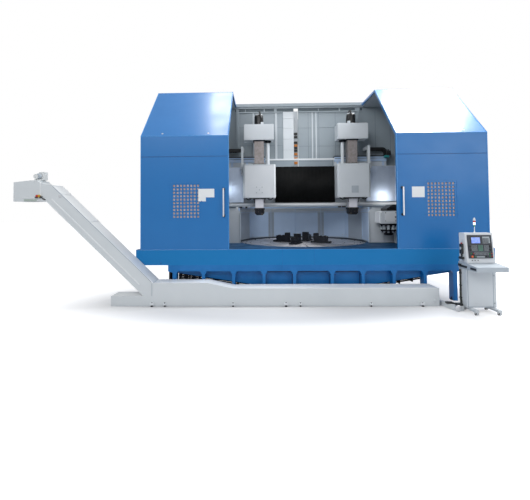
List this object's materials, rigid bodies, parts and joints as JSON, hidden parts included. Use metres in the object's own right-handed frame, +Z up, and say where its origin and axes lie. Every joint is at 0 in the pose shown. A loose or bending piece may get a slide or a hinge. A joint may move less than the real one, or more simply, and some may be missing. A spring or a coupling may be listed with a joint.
{
  "type": "double-column cnc vertical turning lathe",
  "caption": "Double-column vertical turning lathe with rotary table, heads on a crossrail, sliding hoods, inclined chip conveyor and console.",
  "frame": {"origin": "on the floor under the axis of the rotary table", "axes": "+Z up along the table axis, +X to the operator's right, +Y into the depth of the machine"},
  "size_m": [10.79, 6.12, 5.3903],
  "materials": {
    "blue_enamel": "satin",
    "light_grey_enamel": "satin",
    "conveyor_grey": "satin",
    "guard_grey": "satin",
    "bright_steel": "ground",
    "turned_iron": "turned",
    "blackened_steel": "oxide black",
    "bellows_cloth": "coated cloth",
    "black_plastic": "moulded",
    "panel_plastic": "satin",
    "lamp_plastic": "clear"
  },
  "bodies": {
    "machine": {"machine_base": "blue_enamel", "deck": "blue_enamel", "left_column": "blue_enamel", "right_column": "blue_enamel", "crown_beam": "blue_enamel", "crossrail": "light_grey_enamel", "rail_shelf": "bright_steel", "left_fixed_cover": "bright_steel", "right_fixed_cover": "bright_steel", "rear_guard": "guard_grey", "left_guard_panel": "guard_grey", "right_guard_panel": "guard_grey", "left_housing_shell": "guard_grey", "right_housing_shell": "guard_grey", "left_side_wall": "blue_enamel", "right_side_wall": "blue_enamel", "left_back_screen": "light_grey_enamel", "right_back_screen": "light_grey_enamel", "top_rail": "light_grey_enamel", "magazine_housing": "light_grey_enamel", "magazine_hood": "black_plastic", "magazine_carousel": "blackened_steel", "conveyor_trough": "conveyor_grey", "conveyor_incline": "conveyor_grey", "conveyor_head": "conveyor_grey", "conveyor_gearmotor": "black_plastic", "console_cabinet": "light_grey_enamel", "console_desk": "light_grey_enamel", "console_head": "light_grey_enamel", "console_panel": "panel_plastic", "signal_lamp": "lamp_plastic", "floor_duct": "light_grey_enamel"},
    "table": {"rotary_table": "turned_iron", "chuck_jaw_1": "blackened_steel", "chuck_jaw_2": "blackened_steel", "chuck_jaw_3": "blackened_steel", "chuck_jaw_4": "blackened_steel"},
    "left_head": {"left_saddle": "light_grey_enamel", "left_sliding_cover": "bright_steel", "left_bellows": "bellows_cloth", "left_cable_chain": "black_plastic"},
    "right_head": {"right_saddle": "light_grey_enamel", "right_sliding_cover": "bright_steel", "right_bellows": "bellows_cloth", "right_cable_chain": "black_plastic"},
    "left_ram_body": {"left_ram": "bright_steel", "left_tool_holder": "blackened_steel", "left_drive_box": "light_grey_enamel"},
    "right_ram_body": {"right_ram": "bright_steel", "right_tool_holder": "blackened_steel", "right_drive_box": "light_grey_enamel"},
    "left_hood_body": {"left_hood": "blue_enamel", "left_vent_plate": "blue_enamel", "left_hood_handle": "bright_steel"},
    "right_hood_body": {"right_hood": "blue_enamel", "right_vent_plate": "blue_enamel", "right_hood_handle": "bright_steel"}
  },
  "joints": [
    {"name": "table_spin", "type": "hinge", "parent": "machine", "child": "table", "pos_m": [0, 0, 0.9], "axis": [0, 0, 1], "continuous": true},
    {"name": "left_hood_slide", "type": "slide", "parent": "machine", "child": "left_hood_body", "axis": [1, 0, 0], "range_m": [0, 1.92]},
    {"name": "right_hood_slide", "type": "slide", "parent": "machine", "child": "right_hood_body", "axis": [-1, 0, 0], "range_m": [0, 1.92]},
    {"name": "left_saddle_slide", "type": "slide", "parent": "machine", "child": "left_head", "axis": [1, 0, 0], "range_m": [-0.3, 0.5], "deforming": ["left_bellows", "left_cable_chain"]},
    {"name": "right_saddle_slide", "type": "slide", "parent": "machine", "child": "right_head", "axis": [-1, 0, 0], "range_m": [-0.12, 0.5], "deforming": ["right_bellows", "right_cable_chain"]},
    {"name": "left_ram_slide", "type": "slide", "parent": "left_head", "child": "left_ram_body", "axis": [0, 0, 1], "range_m": [-0.65, 0.1]},
    {"name": "right_ram_slide", "type": "slide", "parent": "right_head", "child": "right_ram_body", "axis": [0, 0, 1], "range_m": [-0.65, 0.1]}
  ]
}
